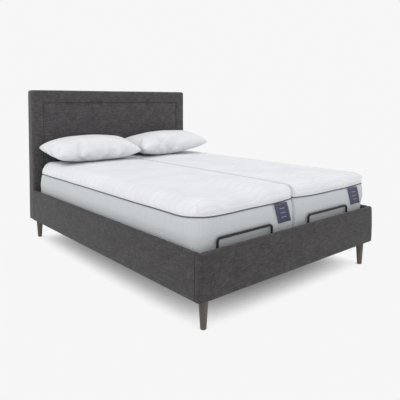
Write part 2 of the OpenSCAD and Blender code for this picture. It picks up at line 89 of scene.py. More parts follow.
class Shader:
    """A material being built: its Principled shader and short calls for the nodes that feed it."""

    def __init__(self, name, color, roughness, metallic=0.0, **sockets):
        self.material = bpy.data.materials.new(name)
        self.material.use_nodes = True
        self.tree = self.material.node_tree
        self.surface = self.tree.nodes["Principled BSDF"]
        self.set(self.surface, "Base Color", (*color, 1))
        self.set(self.surface, "Roughness", roughness)
        self.set(self.surface, "Metallic", metallic)
        for socket, value in sockets.items():
            self.set(self.surface, socket.replace("_", " "), value)
        self.material.diffuse_color = (*color, 1)

    def set(self, node, socket, value):
        """Links value if it is another node's output, else stores it."""
        target = node.inputs[socket]
        if isinstance(value, bpy.types.NodeSocket):
            self.tree.links.new(value, target)
        else:
            target.default_value = value

    def node(self, kind, **values):
        node = self.tree.nodes.new(kind)
        for key, value in values.items():
            setattr(node, key, value)
        return node

    def place(self, rest=False):
        """Where a point is: at rest for a piece that bends, or on its object."""
        if rest:
            return self.node("ShaderNodeAttribute", attribute_name="rest").outputs["Vector"]
        return self.node("ShaderNodeTexCoord").outputs["Object"]

    def scaled(self, vector, x, y, z):
        node = self.node("ShaderNodeMapping")
        self.set(node, "Vector", vector)
        self.set(node, "Scale", (x, y, z))
        return node.outputs["Vector"]

    def math(self, operation, a, b=0.0, c=0.0):
        node = self.node("ShaderNodeMath", operation=operation)
        for k, value in enumerate((a, b, c)):
            self.set(node, k, value)
        return node.outputs[0]

    def split(self, vector):
        node = self.node("ShaderNodeSeparateXYZ")
        self.set(node, 0, vector)
        return node.outputs

    def join(self, x, y, z):
        node = self.node("ShaderNodeCombineXYZ")
        for k, value in enumerate((x, y, z)):
            self.set(node, k, value)
        return node.outputs[0]

    def noise(self, vector, scale, detail, roughness=0.55, distortion=0.0):
        node = self.node("ShaderNodeTexNoise")
        self.set(node, "Vector", vector)
        self.set(node, "Scale", scale)
        self.set(node, "Detail", detail)
        self.set(node, "Roughness", roughness)
        self.set(node, "Distortion", distortion)
        return node.outputs["Fac"]

    def ridge(self, value, period):
        """0 to 1 and back once in each period of value."""
        turned = self.math("MULTIPLY", value, TAU / period)
        return self.math("MULTIPLY_ADD", self.math("SINE", turned), 0.5, 0.5)

    def ramp(self, value, *stops):
        """Colour or grey from value; each stop is (position, colour or grey)."""
        node = self.node("ShaderNodeValToRGB")
        self.set(node, 0, value)
        elements = node.color_ramp.elements
        while len(elements) < len(stops):
            elements.new(0.5)
        for element, (position, tint) in zip(elements, stops):
            element.position = position
            element.color = (*tint, 1) if hasattr(tint, "__len__") else (tint, tint, tint, 1)
        return node.outputs["Color"]

    def total(self, *parts):
        """Sum of the parts, each (value, factor)."""
        scaled = [self.math("MULTIPLY", value, factor) for value, factor in parts]
        out = scaled[0]
        for value in scaled[1:]:
            out = self.math("ADD", out, value)
        return out

    def mix(self, share, a, b):
        """Colour a where share is 0 and b where it is 1."""
        node = self.node("ShaderNodeMix", data_type="RGBA")
        self.set(node, MIX_SHARE, share)
        for socket, value in ((MIX_A, a), (MIX_B, b)):
            linked = isinstance(value, bpy.types.NodeSocket)
            self.set(node, socket, value if linked else (*value, 1))
        return node.outputs[MIX_COLOR]

    def bump(self, height, depth, strength, normal=None):
        """Normal of a relief whose height of 1 stands depth metres out."""
        node = self.node("ShaderNodeBump")
        self.set(node, "Height", height)
        self.set(node, "Distance", depth)
        self.set(node, "Strength", strength)
        if normal is not None:
            self.set(node, "Normal", normal)
        return node.outputs["Normal"]

    def finish(self, color=None, roughness=None, normal=None):
        """Links what was worked out to the surface and returns the material."""
        for socket, value in (("Base Color", color), ("Roughness", roughness), ("Normal", normal)):
            if value is not None:
                self.set(self.surface, socket, value)
        return self.material


def cloth_place(shader):
    """(across, up) of a point on its cloth, in metres, from the mesh's cloth map."""
    u, v, _ = shader.split(shader.node("ShaderNodeUVMap", uv_map="cloth").outputs["UV"])
    return u, v


# ---------------------------------------------------------------- materials

QUILT_PITCH = 0.064                     # between the mattress top's stitch lines
WAVES = ((0.58, 0.050), (0.19, 0.009))  # (length, height) of the two waves that they follow
SPLIT_SHADE_REACH = 0.022                      # how far the painted shade at the split reaches onto each top
LABEL_W, LABEL_H = 0.112, 0.124


def upholstery_material(name, painted_light_scale):
    """Dark grey flat weave with slubs, in warp and weft, and a little pile sheen.

    Its second argument scales the whole colour, which gives lighter and darker copies of one cloth: painted light
    and shade for how light falls on the headboard and on the rails."""
    s = Shader(name, (0.075, 0.070, 0.074), 0.92, Sheen_Weight=0.15, Sheen_Roughness=0.45,
               Specular_IOR_Level=0.25)
    along, up = cloth_place(s)
    flat = s.join(along, up, 0.0)
    weft = s.noise(s.scaled(flat, 22, 95, 1), 1.0, 4.0, 0.62)
    warp = s.noise(s.scaled(flat, 95, 26, 1), 1.0, 4.0, 0.62)
    cloud = s.noise(s.scaled(flat, 10, 13, 1), 1.0, 3.0, 0.6)
    slub = s.total((weft, 0.50), (warp, 0.30), (cloud, 0.20))
    tones = ((0.36, (0.036, 0.034, 0.035)), (0.50, (0.064, 0.060, 0.062)),
             (0.64, (0.103, 0.098, 0.100)))
    # painted light and shade: the colours are scaled, lighter for the headboard and darker for the rails
    color = s.ramp(slub, *((at, tuple(c * painted_light_scale for c in tint)) for at, tint in tones))
    warp_thread = s.ridge(along, 0.0034)
    weft_thread = s.ridge(s.math("ADD", up, s.math("MULTIPLY", weft, 0.004)), 0.0030)
    weave = s.total((s.math("MULTIPLY", warp_thread, weft_thread), 1.0), (slub, 1.6))
    return s.finish(color=color, normal=s.bump(weave, 0.0009, 0.55))


def quilt_material():
    """White stretch knit of the mattress top: fine cells, faint cool shade in the hollows."""
    s = Shader("quilted_knit", (0.70, 0.715, 0.74), 0.85, Sheen_Weight=0.08, Sheen_Roughness=0.5,
               Specular_IOR_Level=0.25)
    spot = s.place(rest=True)
    x, y, _ = s.split(s.node("ShaderNodeAttribute", attribute_name="quilt").outputs["Vector"])
    knit = s.noise(s.scaled(spot, 520, 300, 520), 1.0, 2.0)
    soft = s.noise(spot, 5.0, 2.0)
    # stitch lines of the quilting, in the hollows between its channels; the cooler grey given to them is painted
    # shade in those hollows
    wave = y
    for length, height in WAVES:
        swing = s.math("SINE", s.math("MULTIPLY", x, TAU / length))
        wave = s.math("ADD", wave, s.math("MULTIPLY", swing, height))
    line = s.math("ABSOLUTE", s.math("SINE", s.math("MULTIPLY", wave, math.pi / QUILT_PITCH)))
    stitch = s.ramp(line, (0.0, 0.0), (0.16, 0.75), (0.45, 1.0))
    tone = s.ramp(soft, (0.30, (0.690, 0.705, 0.733)), (0.65, (0.740, 0.752, 0.772)))
    # painted shade: a cooler grey along the stitch lines, down in the hollows
    color = s.mix(stitch, (0.66, 0.68, 0.71), tone)
    # painted shade: the edges that meet at the split are drawn a darker grey, for the shade in the gap between the
    # two mattresses
    split = s.ramp(s.math("ABSOLUTE", x), (0.010, 1.0), (SPLIT_SHADE_REACH, 0.0))
    color = s.mix(split, color, (0.58, 0.59, 0.61))
    relief = s.total((stitch, 0.8), (knit, 0.4))
    return s.finish(color=color, normal=s.bump(relief, 0.0010, 0.4))


def border_material():
    """Light grey knitted border with fine upright ribs."""
    s = Shader("ribbed_border", (0.52, 0.55, 0.55), 0.88, Sheen_Weight=0.15, Sheen_Roughness=0.5,
               Specular_IOR_Level=0.25)
    along, up = cloth_place(s)
    flat = s.join(along, up, 0.0)
    streak = s.noise(s.scaled(flat, 190, 7, 1), 1.0, 4.0, 0.6)
    fleck = s.noise(s.scaled(flat, 420, 260, 1), 1.0, 2.0)
    mottle = s.noise(s.scaled(flat, 120, 95, 1), 1.0, 4.0, 0.7)
    rib = s.ridge(s.math("ADD", along, s.math("MULTIPLY", streak, 0.002)), 0.0065)
    tone = s.total((streak, 0.30), (rib, 0.10), (fleck, 0.15), (mottle, 0.45))
    color = s.ramp(tone, (0.28, (0.46, 0.48, 0.495)), (0.52, (0.535, 0.56, 0.58)),
                   (0.75, (0.60, 0.625, 0.645)))
    return s.finish(color=color, normal=s.bump(s.math("ADD", rib, fleck), 0.0007, 0.5))


def piping_material():
    """Dark grey cord whose thread runs round it in a slant."""
    s = Shader("piping_cord", (0.085, 0.095, 0.105), 0.8, Sheen_Weight=0.1)
    along, up = cloth_place(s)
    twist = s.ridge(s.math("ADD", along, s.math("MULTIPLY", up, 1.6)), 0.0026)
    color = s.ramp(twist, (0.0, (0.06, 0.068, 0.076)), (1.0, (0.115, 0.125, 0.135)))
    return s.finish(color=color, normal=s.bump(twist, 0.0006, 0.6))


def label_material():
    """Navy satin weave of the tabs, with a paler line of stitches and three woven bars."""
    frame_in, frame_w, dash_pitch = 0.007, 0.0018, 0.005                   # line of stitches
    bar_pitch, bar_w, bar_long, bars_high = 0.028, 0.0044, 0.048, 0.068    # woven bars
    s = Shader("label_satin", (0.040, 0.043, 0.095), 0.55, Sheen_Weight=0.1, Sheen_Roughness=0.3)
    across, down = cloth_place(s)
    fleck = s.noise(s.scaled(s.join(across, down, 0.0), 900, 300, 1), 1.0, 2.0)
    color = s.ramp(fleck, (0.3, (0.026, 0.028, 0.072)), (0.7, (0.050, 0.053, 0.112)))
    from_middle_x = s.math("ABSOLUTE", s.math("SUBTRACT", across, LABEL_W / 2))
    from_middle_y = s.math("ABSOLUTE", s.math("SUBTRACT", down, LABEL_H / 2))
    # a dashed line of stitches runs round it, a little in from its edges
    inset = s.math("MAXIMUM", s.math("SUBTRACT", from_middle_x, LABEL_W / 2 - frame_in),
                   s.math("SUBTRACT", from_middle_y, LABEL_H / 2 - frame_in))
    on_line = s.math("LESS_THAN", s.math("ABSOLUTE", inset), frame_w / 2)
    dash = s.math("GREATER_THAN", s.ridge(s.math("ADD", across, down), dash_pitch), 0.35)
    stitch = s.math("MULTIPLY", on_line, dash)
    # the bars lie in its middle, one above the other
    bar = s.math("PINGPONG", s.math("SUBTRACT", down, LABEL_H / 2), bar_pitch / 2)
    bar = s.math("LESS_THAN", bar, bar_w / 2)
    for off, reach in ((from_middle_x, bar_long), (from_middle_y, bars_high)):
        bar = s.math("MULTIPLY", bar, s.math("LESS_THAN", off, reach / 2))
    stitch = s.math("MAXIMUM", stitch, bar)
    color = s.mix(stitch, color, (0.30, 0.31, 0.36))
    ribs = s.ridge(down, 0.0016)
    relief = s.total((ribs, 1.0), (fleck, 1.0), (stitch, 3.0))
    return s.finish(color=color, normal=s.bump(relief, 0.0004, 0.5))


def pillow_material():
    """White cotton percale: fine weave with soft crumple shade."""
    s = Shader("pillow_cotton", (0.70, 0.71, 0.74), 0.85, Sheen_Weight=0.08, Sheen_Roughness=0.5,
               Specular_IOR_Level=0.25)
    spot = s.place(rest=True)
    crumple = s.noise(spot, 9.0, 5.0, 0.6, 0.4)
    weave = s.noise(s.scaled(spot, 700, 700, 700), 1.0, 1.0)
    color = s.ramp(crumple, (0.3, (0.71, 0.72, 0.75)), (0.65, (0.75, 0.76, 0.785)))
    normal = s.bump(crumple, 0.006, 0.30)
    return s.finish(color=color, normal=s.bump(weave, 0.0004, 0.4, normal))


def wood_material(name, dark, light, grain_axis, rings, roughness):
    """Wood with its grain along one axis: long streaks, growth lines and pores."""
    s = Shader(name, light, roughness)
    stretch = [1.0, 1.0, 1.0]
    stretch[grain_axis] = 0.06
    spot = s.scaled(s.place(), *stretch)
    flow = s.noise(spot, 14.0, 4.0, 0.6, 0.6)
    line = s.noise(s.scaled(spot, rings, rings, rings), 1.0, 3.0, 0.6)
    pore = s.noise(s.scaled(spot, 600, 600, 600), 1.0, 2.0)
    tone = s.total((flow, 0.5), (line, 0.5))
    color = s.ramp(tone, (0.36, dark), (0.64, light))
    rough = s.math("MULTIPLY_ADD", line, 0.18, roughness - 0.08)
    relief = s.math("ADD", line, pore)
    return s.finish(color=color, roughness=rough, normal=s.bump(relief, 0.0006, 0.5))


def plywood_material():
    """Birch plywood deck: flat grain on the faces, stacked plies along the edges."""
    s = Shader("deck_plywood", (0.42, 0.30, 0.18), 0.6)
    place = s.place()
    spot = s.scaled(place, 8.0, 0.8, 8.0)
    flow = s.noise(spot, 3.0, 5.0, 0.6, 0.8)
    face = s.ramp(flow, (0.35, (0.30, 0.205, 0.115)), (0.65, (0.47, 0.345, 0.21)))
    ply = s.ridge(s.split(place)[2], 0.0028)
    edge = s.ramp(ply, (0.3, (0.17, 0.11, 0.06)), (0.7, (0.50, 0.37, 0.23)))
    up = s.split(s.node("ShaderNodeNewGeometry").outputs["True Normal"])[2]
    flat = s.math("GREATER_THAN", s.math("ABSOLUTE", up), 0.5)
    color = s.mix(flat, edge, face)
    return s.finish(color=color, normal=s.bump(flow, 0.0008, 0.4))


def painted_steel_material():
    """Black powder coat: orange-peel skin, edges rubbed a shade lighter."""
    s = Shader("powder_coat", (0.012, 0.012, 0.013), 0.45, Specular_IOR_Level=0.30)
    spot = s.place()
    peel = s.noise(spot, 900.0, 2.0)
    dust = s.noise(spot, 22.0, 4.0, 0.65)
    wear = s.node("ShaderNodeNewGeometry").outputs["Pointiness"]
    rubbed = s.ramp(wear, (0.50, 0.0), (0.62, 1.0))
    base = s.ramp(dust, (0.35, (0.008, 0.008, 0.009)), (0.7, (0.017, 0.017, 0.018)))
    color = s.mix(s.math("MULTIPLY", rubbed, 0.20), base, (0.07, 0.07, 0.073))
    rough = s.ramp(dust, (0.3, 0.36), (0.7, 0.52))
    return s.finish(color=color, roughness=rough, normal=s.bump(peel, 0.0003, 0.35))


def bright_steel_material():
    """Zinc-bright turned steel with fine brushing."""
    s = Shader("zinc_steel", (0.55, 0.55, 0.56), 0.3, metallic=1.0)
    spot = s.place()
    brushed = s.noise(s.scaled(spot, 40, 900, 900), 1.0, 3.0)
    stain = s.noise(spot, 60.0, 4.0)
    color = s.ramp(stain, (0.3, (0.44, 0.44, 0.46)), (0.7, (0.62, 0.62, 0.63)))
    rough = s.ramp(brushed, (0.3, 0.22), (0.7, 0.40))
    return s.finish(color=color, roughness=rough, normal=s.bump(brushed, 0.0002, 0.4))


def drive_plastic_material():
    """Moulded black plastic with spark-eroded grain."""
    s = Shader("moulded_plastic", (0.028, 0.028, 0.030), 0.6)
    spot = s.place()
    grain = s.noise(spot, 1400.0, 2.0)
    tone = s.noise(spot, 30.0, 3.0)
    color = s.ramp(tone, (0.3, (0.022, 0.022, 0.024)), (0.7, (0.036, 0.036, 0.038)))
    rough = s.ramp(grain, (0.3, 0.52), (0.7, 0.70))
    return s.finish(color=color, roughness=rough, normal=s.bump(grain, 0.0004, 0.5))


# one cloth in two copies, darker for the rails and CAD nodes and lighter for the headboard: the difference is
# painted light and shade
UPHOLSTERY_PAINTED_DARKER = upholstery_material("upholstery", 0.78)
HEADBOARD_CLOTH_PAINTED_LIGHTER = upholstery_material("headboard_cloth_painted_lighter", 1.13)
QUILT = quilt_material()
BORDER = border_material()
PIPING = piping_material()
LABEL = label_material()
COTTON = pillow_material()
LEG_WOOD = wood_material("grey_oak", (0.048, 0.040, 0.029), (0.118, 0.100, 0.074), 2, 90.0, 0.55)
TIMBER = wood_material("softwood", (0.42, 0.28, 0.14), (0.66, 0.50, 0.31), 0, 60.0, 0.7)
PLYWOOD = plywood_material()
POWDER_COAT = painted_steel_material()
ZINC = bright_steel_material()
PLASTIC = drive_plastic_material()

SLOT_MATERIALS = {
    "timber": TIMBER,
    "leg_wood": LEG_WOOD,
    "dark_steel": POWDER_COAT,
    "bright_steel": ZINC,
    "drive_plastic": PLASTIC,
    "deck_board": PLYWOOD,
    "upholstery": UPHOLSTERY_PAINTED_DARKER,
    "mattress_cover": QUILT,
    "pillow_cotton": COTTON,
}


def dress_cad_nodes():
    """Gives every carried-over CAD node the material of its slot."""
    for subpart in frame["record"]["subparts"]:
        node = NODES[subpart["node"]]
        node.data.materials.clear()
        node.data.materials.append(SLOT_MATERIALS[subpart["material_slot"]])


# ---------------------------------------------------------------- mesh helpers

CORNERS = [(-1, -1), (1, -1), (-1, 1), (1, 1)]      # (side of x, side of y)
WALL_STEP = 0.016                                   # between a wall's upper rows of points
CLOTH_BATCH = 4000                                  # points that are measured at once


def steps(points, cell):
    """The given positions in order, with even steps of at most cell between them."""
    points = sorted(set(round(float(p), 6) for p in points))
    out = [points[0]]
    for a, b in zip(points, points[1:]):
        count = max(1, math.ceil((b - a) / cell - 1e-6))
        out += [a + (b - a) * k / count for k in range(1, count + 1)]
    return np.array(out)


def edge_steps(lo, hi, radius, count=6):
    """Positions that step round a rounded edge at both ends of a span."""
    depth = [radius * (1 - math.cos(math.pi / 2 * k / count)) for k in range(count + 1)]
    return [lo + d for d in depth] + [hi - d for d in depth]


def round_corners(p, lo, hi, radii):
    """Bends the corners of a rectangle of points to the radii, keyed by (side of x, side of y)."""
    p = p.copy()
    for (sx, sy), r in radii.items():
        if r <= 0:
            continue
        centre = np.array([hi[0] - r if sx > 0 else lo[0] + r, hi[1] - r if sy > 0 else lo[1] + r])
        q = (p - centre) * (sx, sy)
        inside = (q[:, 0] > 0) & (q[:, 1] > 0)
        reach = np.maximum(q[inside, 0], q[inside, 1])
        length = np.hypot(q[inside, 0], q[inside, 1])
        p[inside] = centre + q[inside] * (reach / length)[:, None] * (sx, sy)
    return p


def grid_faces(index):
    """The quads of a grid of point numbers, and the numbers round its rim."""
    quads = np.stack([index[:-1, :-1], index[1:, :-1], index[1:, 1:], index[:-1, 1:]], -1)
    rim = np.concatenate([index[:-1, 0], index[-1, :-1], index[:0:-1, -1], index[0, :0:-1]])
    return quads.reshape(-1, 4), rim


def smoothstep(t):
    """Eased share: level at both ends of 0 to 1."""
    return t * t * (3 - 2 * t)


class Slab:
    """Closed quad mesh of a padded slab: a grid on top, the same grid below, and walls between.

    a, b: grid positions; levels: wall heights from bottom to top; radii: plan corners, and
    low_radii the same at the bottom, which turn into the others up to the height blend_to.
    edge_r rounds the upper edges, as (-a, +a, -b, +b) sides, and low_r the lower ones. The axes
    give the directions of a, b and up. start keeps the plain points when push moves them."""

    def __init__(self, a, b, levels, radii, edge_r, low_r, axes=None, low_radii=None,
                 blend_to=None):
        na, nb = len(a), len(b)
        grid = np.stack(np.meshgrid(a, b, indexing="ij"), -1).reshape(-1, 2)
        lo, hi = np.array([a[0], b[0]]), np.array([a[-1], b[-1]])
        sides = np.column_stack([grid[:, 0] - lo[0], hi[0] - grid[:, 0],
                                 grid[:, 1] - lo[1], hi[1] - grid[:, 1]])
        to_edge = sides.min(1)
        plan = round_corners(grid, lo, hi, radii)
        plan_low = round_corners(grid, lo, hi, low_radii or radii)
        quads, rim = grid_faces(np.arange(na * nb).reshape(na, nb))
        low, high = levels[0], levels[-1]
        drops = [self.drop(sides[:, k], r) for k, r in enumerate(edge_r)]
        top = high - np.max(drops, axis=0)
        bottom = low + self.drop(to_edge, low_r)
        near = 1e-5
        fixed = [z for z in levels if low + low_r + near < z < high - max(edge_r) - near]
        walls = [np.full(len(rim), z) for z in fixed]
        last, rim_top = fixed[-1], top[rim]
        extra = math.ceil((rim_top.max() - last) / WALL_STEP)
        walls += [last + (rim_top - last) * k / extra for k in range(1, extra)]
        count, ring = na * nb, len(rim)
        heights = np.concatenate([top, bottom, *walls])
        flat = np.concatenate([plan, plan_low] + [plan[rim]] * len(walls))
        if blend_to is not None:
            flat_low = np.concatenate([plan_low, plan_low] + [plan_low[rim]] * len(walls))
            share = np.clip((heights - low) / (blend_to - low), 0, 1)[:, None]
            flat = flat_low + (flat - flat_low) * smoothstep(share)
        rows = [2 * count + k * ring + np.arange(ring) for k in range(len(walls))]
        rows = [rim + count, *rows, rim]
        faces = [quads, (quads + count)[:, ::-1]]
        for lower, upper in zip(rows, rows[1:]):
            faces.append(np.stack([lower, np.roll(lower, -1), np.roll(upper, -1), upper], -1))
        self.axes = np.array(axes or np.eye(3), float)
        self.points = self.start = np.column_stack([flat, heights])
        self.faces = np.concatenate(faces)
        self.edge = np.concatenate([to_edge, to_edge, np.zeros(ring * len(walls))])
        self.normals = point_normals(self.points, self.faces)
        self.cloth = self.cloth_map(plan, rim, len(walls), max(*edge_r, low_r))

    def cloth_map(self, plan, rim, walls, near):
        """(across, up) on the cloth for each corner of each face: round the walls, or in plan."""
        count = len(plan)
        hop = np.linalg.norm(np.roll(plan[rim], -1, axis=0) - plan[rim], axis=1)
        run = np.concatenate([[0.0], np.cumsum(hop)])
        across = np.zeros(len(self.points))
        close = np.flatnonzero(self.edge[:count] <= near + 0.01)
        for some in np.array_split(close, max(1, len(close) // CLOTH_BATCH)):
            gap = ((plan[some][:, None] - plan[rim][None]) ** 2).sum(-1)
            across[some] = run[gap.argmin(1)]
        across[count:2 * count] = across[:count]
        across[2 * count:] = np.tile(run[:-1], walls)
        wall = np.stack([across[self.faces], self.points[:, 2][self.faces]], -1)
        # a face that crosses the end of the run goes on past it
        wrap = wall[..., 0].max(1) - wall[..., 0].min(1) > run[-1] / 2
        low_side = wall[..., 0] < run[-1] / 2
        wall[..., 0] += np.where(wrap[:, None] & low_side, run[-1], 0)
        flat = self.points[self.faces][..., :2]
        level = np.abs(self.normals[self.faces][..., 2].mean(1)) > 0.7
        return np.where(level[:, None, None], flat, wall)

    @staticmethod
    def drop(depth, radius):
        """How far a quarter round has fallen at a depth in from its edge."""
        if radius <= 0:
            return np.zeros(len(depth))
        inward = np.clip(radius - depth, 0, radius)
        return radius - np.sqrt(radius ** 2 - inward ** 2)

    def push(self, amount):
        """Moves every point along its normal."""
        self.points = self.points + self.normals * amount[:, None]

    def world(self):
        return self.points @ self.axes


def point_normals(points, faces):
    """Each point's normal: the sum of its faces' normals by area, at length 1."""
    first, second = (points[faces[:, k + 2]] - points[faces[:, k]] for k in (0, 1))
    normal = np.cross(first, second)
    out = np.zeros_like(points)
    for k in range(4):
        np.add.at(out, faces[:, k], normal)
    return out / np.maximum(np.linalg.norm(out, axis=1), 1e-12)[:, None]


def mesh_object(name, points, faces, materials, cloth=None, smooth=True):
    """Mesh object from arrays, with its rest positions and cloth map stored for its materials."""
    mesh = bpy.data.meshes.new(name)
    mesh.from_pydata(points.tolist(), [], [list(map(int, f)) for f in faces])
    mesh.update()
    for material in materials:
        mesh.materials.append(material)
    mesh.polygons.foreach_set("use_smooth", [smooth] * len(mesh.polygons))
    stored = mesh.attributes.new("rest", "FLOAT_VECTOR", "POINT")
    stored.data.foreach_set("vector", np.asarray(points, np.float32).ravel())
    if cloth is not None:
        mesh.uv_layers.new(name="cloth").data.foreach_set("uv", cloth.astype(np.float32).ravel())
    obj = bpy.data.objects.new(name, mesh)
    bpy.context.scene.collection.objects.link(obj)
    return obj


def close_cuts(mesh):
    """Fills each open end of a mesh with one face."""
    work = bmesh.new()
    work.from_mesh(mesh)
    rim = [edge for edge in work.edges if edge.is_boundary]
    bmesh.ops.holes_fill(work, edges=rim, sides=len(rim))
    work.to_mesh(mesh)
    work.free()


def ripple(p, scale, seed):
    """Smooth repeatable noise from -1 to 1: a few crossed sine waves."""
    waves = 7
    rng = np.random.default_rng(seed)
    total = np.zeros(len(p))
    for _ in range(waves):
        direction = rng.normal(size=3)
        direction /= np.linalg.norm(direction)
        pitch = scale * rng.uniform(0.6, 1.8)
        total += np.sin(p @ direction * TAU / pitch + rng.uniform(0, TAU))
    return total / waves


def groove(distance, width):
    """1 on a line, falling to 0 about width away from it."""
    return np.exp(-(distance / width) ** 2)


# ---------------------------------------------------------------- bedstead


def cover(obj, node):
    """Hands a padded cover of the bedstead over to the frame, in place of its CAD node."""
    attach(obj, "bedstead")
    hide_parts(node)


def headboard():
    """Padded headboard with a double-stitched border around its inset panel."""
    lo, hi = (np.array(c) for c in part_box("headboard_cover"))
    inset_side, inset_top, inset_low = 0.097, 0.107, 0.188     # the border's widths
    seam_gap = 0.013                                           # between its two rows of stitches
    edge_r, low_r = 0.020, 0.006                               # rounding at the front and the back
    seam_w, seam_deep, second_deep = 0.0042, 0.0085, 0.0045
    fullness, panel_fullness = 0.006, 0.003
    left, right = lo[0] + inset_side, hi[0] - inset_side
    low, high = lo[2] + inset_low, hi[2] - inset_top
    around = [k * 0.003 for k in range(-4, 9)]                 # close rows of points at the seams
    a = edge_steps(lo[0], hi[0], edge_r) + [left + d for d in around] + [right - d for d in around]
    b = edge_steps(lo[2], hi[2], edge_r) + [low + d for d in around] + [high - d for d in around]
    depth = hi[1] - lo[1]
    slab = Slab(steps(a, 0.02), steps(b, 0.02), steps([0, low_r, depth - edge_r, depth], 0.012),
                {(-1, -1): 0.012, (1, -1): 0.012, (-1, 1): 0.022, (1, 1): 0.022}, (edge_r,) * 4,
                low_r, axes=((1, 0, 0), (0, 0, 1), (0, -1, 0)))
    p = slab.points
    on_face = slab.edge > 0.001
    front = (slab.normals[:, 2] > 0.5) & on_face
    inside = np.minimum.reduce([p[:, 0] - left, right - p[:, 0], p[:, 1] - low, high - p[:, 1]])
    swell = fullness * (1 - np.exp(-np.abs(inside) / 0.028)) - fullness
    swell += panel_fullness * (1 - np.exp(-np.clip(inside - seam_gap, 0, None) / 0.10))
    seam = -seam_deep * groove(inside, seam_w) - second_deep * groove(inside - seam_gap, seam_w)
    outer = -0.0022 * groove(slab.edge - edge_r, 0.004)
    soft = 0.0012 * ripple(p, 0.35, 3) + 0.0005 * ripple(p, 0.08, 4)
    slab.push(np.where(front, swell + seam + outer, 0) + soft * (p[:, 2] > 0.01))
    # the back has one seam, all round and a little in from its edge
    back = (slab.normals[:, 2] < -0.5) & on_face
    slab.push(np.where(back, -0.0045 * groove(slab.edge - 0.045, 0.006), 0))
    points = slab.world()
    points[:, 1] += hi[1]
    obj = mesh_object("headboard_upholstery", points, slab.faces, [HEADBOARD_CLOTH_PAINTED_LIGHTER], slab.cloth)
    cover(obj, "headboard_cover")


def rail(name, node, radii, seed, outward):
    """Upholstered rail: padded outer faces, rounded top edge and fabric turned under."""
    lo, hi = (np.array(c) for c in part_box(node))
    top_r, low_r = 0.014, 0.005
    fullness, hem_up, hem_deep = 0.0035, 0.012, 0.0018
    a = steps(edge_steps(lo[0], hi[0], top_r, 5), 0.02)
    b = steps(edge_steps(lo[1], hi[1], top_r, 5), 0.02)
    levels = steps([lo[2], lo[2] + low_r, hi[2] - top_r, hi[2]], 0.014)
    slab = Slab(a, b, levels, radii, (top_r,) * 4, low_r)
    p = slab.points
    height = np.clip((p[:, 2] - lo[2]) / (hi[2] - lo[2]), 0, 1)
    facing = np.clip(slab.normals @ np.array(outward), 0, 1)
    puff = fullness * np.sin(math.pi * height) ** 0.7 * facing - 0.0025 * facing
    hem = -hem_deep * groove(p[:, 2] - lo[2] - hem_up, 0.004) * facing
    soft = (0.0011 * ripple(p, 0.30, seed) + 0.0005 * ripple(p, 0.07, seed + 1)) * facing
    slab.push(puff + hem + soft)
    cover(mesh_object(name, slab.world(), slab.faces, [UPHOLSTERY_PAINTED_DARKER], slab.cloth), node)


def rails():
    square = dict.fromkeys(CORNERS, 0.005)
    rail("left_rail_upholstery", "left_rail_cover", square, 11, (-1, 0, 0))
    rail("right_rail_upholstery", "right_rail_cover", square, 13, (1, 0, 0))
    corner = {(-1, -1): 0.028, (1, -1): 0.028, (-1, 1): 0.006, (1, 1): 0.006}
    rail("foot_rail_upholstery", "foot_rail_cover", corner, 17, (0, -1, 0))


# ---------------------------------------------------------------- mattresses

PIPING_UP = 0.203                                    # above the mattress's underside
PIPING_R = 0.0042
CROWN_ROOM = 0.005                                   # left between the CAD box and the top
UNDER_R = 0.016                                      # rounding of the underside's edges
END_R, SPLIT_R = 0.058, 0.020                        # of the top's edges, at the ends and split
OUTER_R = {"left": 0.084, "right": 0.036}            # and along the bed's sides
CORNER_R = {"left": 0.105, "right": 0.018}           # of the outer corners in plan
LOW_CORNER_R, SPLIT_CORNER_R = 0.050, 0.020          # at the underside at most, at the split
OVERHANG = {"left": 0.010, "right": 0.024}           # of the foam over the side rail


def mattress_slab(side, lo, hi, cuts):
    """The plain mattress, with close rows of points at the piping and a row on each cut."""
    sign = SIDES[side]
    outer_r, corner_r = OUTER_R[side], CORNER_R[side]
    top, piping_z = hi[2] - CROWN_ROOM, lo[2] + PIPING_UP
    around = [PIPING_R * k for k in (-1.9, -1.3, -0.95, -0.75, -0.4, 0, 0.4, 0.75, 0.95, 1.3, 1.9)]
    a = steps(edge_steps(lo[0], hi[0], outer_r, 10), 0.0125)
    b = steps(edge_steps(lo[1], hi[1], END_R, 9) + [*cuts], QUILT_PITCH / 9)
    levels = [lo[2], lo[2] + UNDER_R, top - max(outer_r, END_R), top]
    levels = steps(levels + [piping_z + d for d in around], WALL_STEP)
    radii, low_radii = (
        {(sx, sy): r if sx == sign else SPLIT_CORNER_R for sx, sy in CORNERS}
        for r in (corner_r, min(corner_r, LOW_CORNER_R)))
    edges = (outer_r, SPLIT_R) if sign < 0 else (SPLIT_R, outer_r)
    return Slab(a, b, levels, radii, (*edges, END_R, END_R), UNDER_R, low_radii=low_radii,
                blend_to=piping_z)


